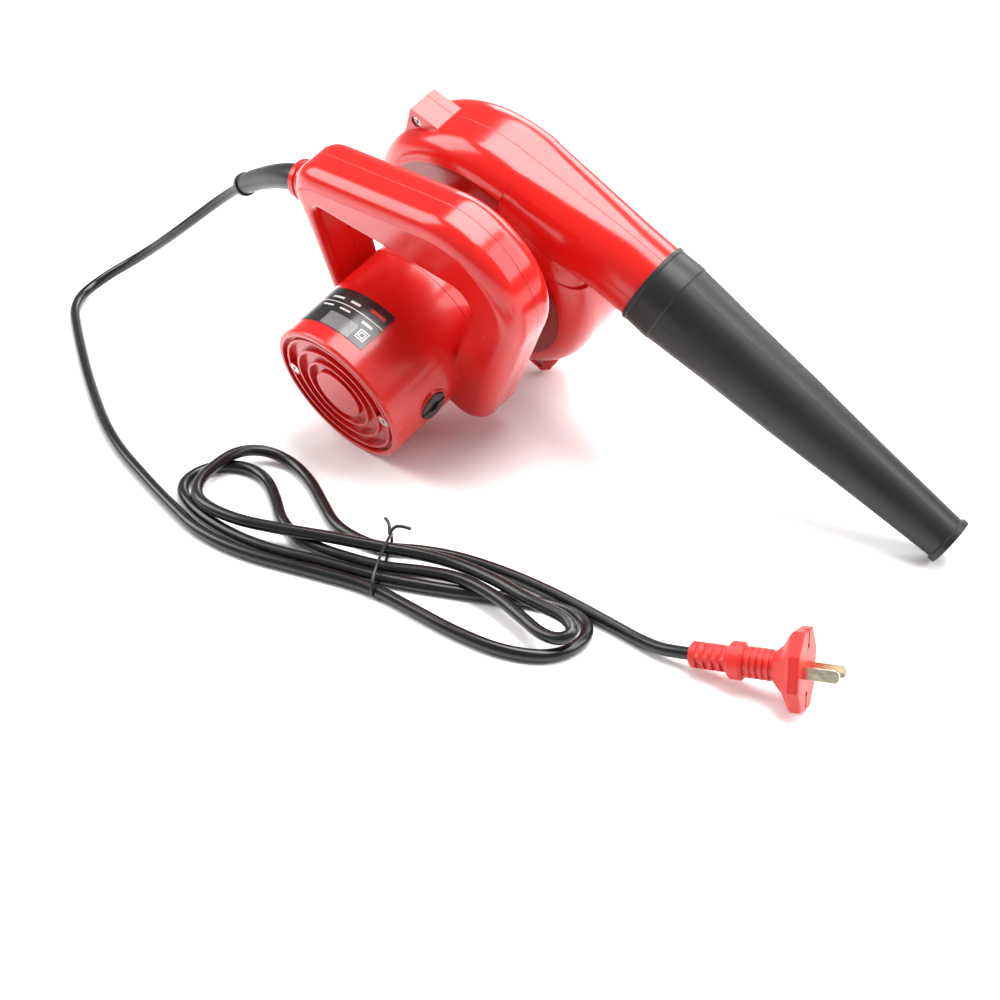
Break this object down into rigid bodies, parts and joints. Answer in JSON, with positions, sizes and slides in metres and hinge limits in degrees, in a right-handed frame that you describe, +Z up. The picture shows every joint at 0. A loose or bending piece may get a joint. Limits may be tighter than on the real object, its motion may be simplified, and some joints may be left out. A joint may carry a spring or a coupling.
{
  "type": "car dryer blower",
  "caption": "Hand-held electric air blower for drying cars: round motor, looped side handle, scroll fan casing, long tapered rubber nozzle, and a tied mains cord with a two-pin plug.",
  "frame": {"origin": "on the floor under the middle of the blower's box, the cord left out", "axes": "+X towards the nozzle's tip, +Z up, the motor's end towards -Y"},
  "size_m": [0.6166, 0.3139, 0.191],
  "materials": {
    "red_plastic": "gloss, injection moulded",
    "red_plug": "satin, soft moulded",
    "black_rubber": "matte",
    "cord_jacket": "satin",
    "black_plastic": "satin",
    "white_nylon": "satin",
    "plated_steel": "zinc plated",
    "shaft_steel": "ground",
    "lamination_steel": "stacked sheet edges",
    "spring_steel": "bright wire",
    "copper_wire": "enamelled wire",
    "brass": "machined",
    "nickel_pins": "nickel plated, slightly worn",
    "carbon": "matte",
    "cast_alloy": "as cast",
    "label_foil": "gloss film",
    "lead_sheath": "satin"
  },
  "bodies": {
    "blower": {"motor_housing": "red_plastic", "handle_cover": "red_plastic", "fan_case_rear": "red_plastic", "fan_case_front": "red_plastic", "bearing_outer_races": "shaft_steel", "stator_core": "lamination_steel", "field_windings": "copper_wire", "bearing_plate": "cast_alloy", "brush_holders": "brass", "carbon_brushes": "carbon", "brush_springs": "spring_steel", "brush_cap_front": "black_plastic", "brush_cap_rear": "black_plastic", "trigger_spring": "spring_steel", "switch_body": "black_plastic", "suppressor_capacitor": "white_nylon", "inner_leads": "lead_sheath", "cord_end": "cord_jacket", "cord_clamp": "plated_steel", "cord_boot": "black_rubber", "handle_screws": "plated_steel", "case_screws": "plated_steel", "flange_screws": "plated_steel", "motor_screws": "plated_steel", "rating_label": "label_foil", "cord_lead": "cord_jacket", "cord_hank": "cord_jacket", "cord_tie": "black_plastic", "plug_lead": "cord_jacket", "plug_body": "red_plug", "plug_pins": "nickel_pins"},
    "rotor": {"rotor_shaft": "shaft_steel", "armature_core": "lamination_steel", "armature_windings": "copper_wire", "commutator": "copper_wire", "cooling_fan": "white_nylon", "impeller": "white_nylon", "impeller_nut": "plated_steel", "bearing_inner_races": "shaft_steel", "bearing_balls": "shaft_steel"},
    "nozzle": {"nozzle": "black_rubber"},
    "trigger": {"trigger": "black_plastic"}
  },
  "joints": [
    {"name": "rotor_spin", "type": "hinge", "parent": "blower", "child": "rotor", "pos_m": [-0.07994, 0.05318, 0.09672], "axis": [0.1707, 0.9258, 0.3373], "continuous": true},
    {"name": "trigger_pull", "type": "slide", "parent": "blower", "child": "trigger", "axis": [0.0603, -0.3515, 0.9343], "range_m": [0, 0.005], "stiffness_N_per_m": 900, "springref_m": -0.002, "deforming": ["trigger_spring"]},
    {"name": "nozzle_pull", "type": "slide", "parent": "blower", "child": "nozzle", "axis": [0.8922, 0, -0.4516], "range_m": [0, 0.03]}
  ]
}
